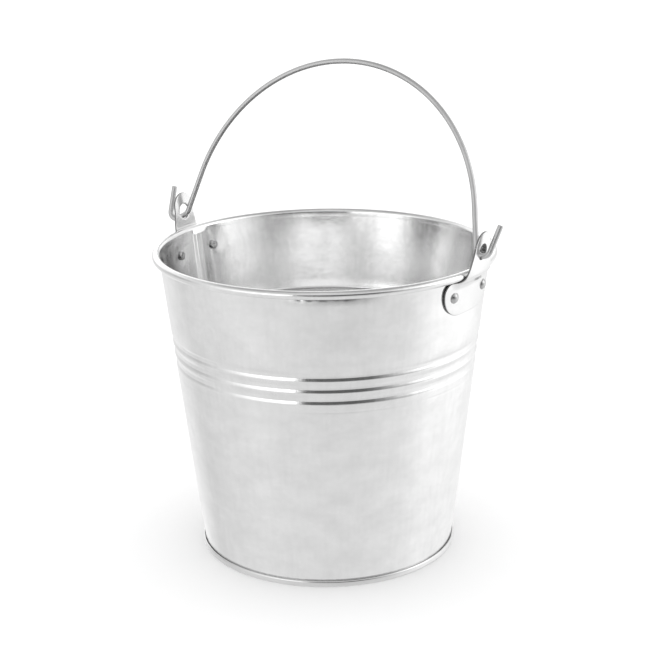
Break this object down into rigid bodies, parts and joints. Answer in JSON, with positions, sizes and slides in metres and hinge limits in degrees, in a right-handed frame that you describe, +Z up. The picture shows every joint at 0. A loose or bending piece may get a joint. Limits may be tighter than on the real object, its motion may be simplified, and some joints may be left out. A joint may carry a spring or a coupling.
{
  "type": "florist bucket",
  "caption": "Tapered sheet-steel florist bucket with a curled rim, fine beads, riveted ears and a swinging wire bail handle.",
  "frame": {"origin": "centre of the foot ring, on the surface the bucket stands on", "axes": "+Z up along the bucket's axis; the ears lie on +X and -X and the bail swings about X; the bail leans towards +Y at rest"},
  "size_m": [0.215, 0.19, 0.2709],
  "materials": {
    "tinned_sheet": "bright zinc or tin plated sheet, soft mirror, faintly mottled",
    "base_sheet": "bright plated sheet, slightly duller at the folded foot ring",
    "rim_wire_steel": "plain drawn wire, hidden in the rim",
    "ear_sheet": "bright plated pressing, smooth",
    "rivet_steel": "plated rivet, darker than the sheet",
    "bail_wire": "bright plated wire with fine drawing lines"
  },
  "bodies": {
    "bucket": {"body_shell": "tinned_sheet", "base_pan": "base_sheet", "rim_wire": "rim_wire_steel", "ear_right": "ear_sheet", "ear_left": "ear_sheet", "rivet_right_front": "rivet_steel", "rivet_right_back": "rivet_steel", "rivet_left_front": "rivet_steel", "rivet_left_back": "rivet_steel"},
    "bail": {"bail_handle": "bail_wire"}
  },
  "joints": [
    {"name": "bail_swing", "type": "hinge", "parent": "bucket", "child": "bail", "pos_m": [0, 0, 0.1783], "axis": [1, 0, 0], "range_deg": [-73.9, 112.1]}
  ]
}
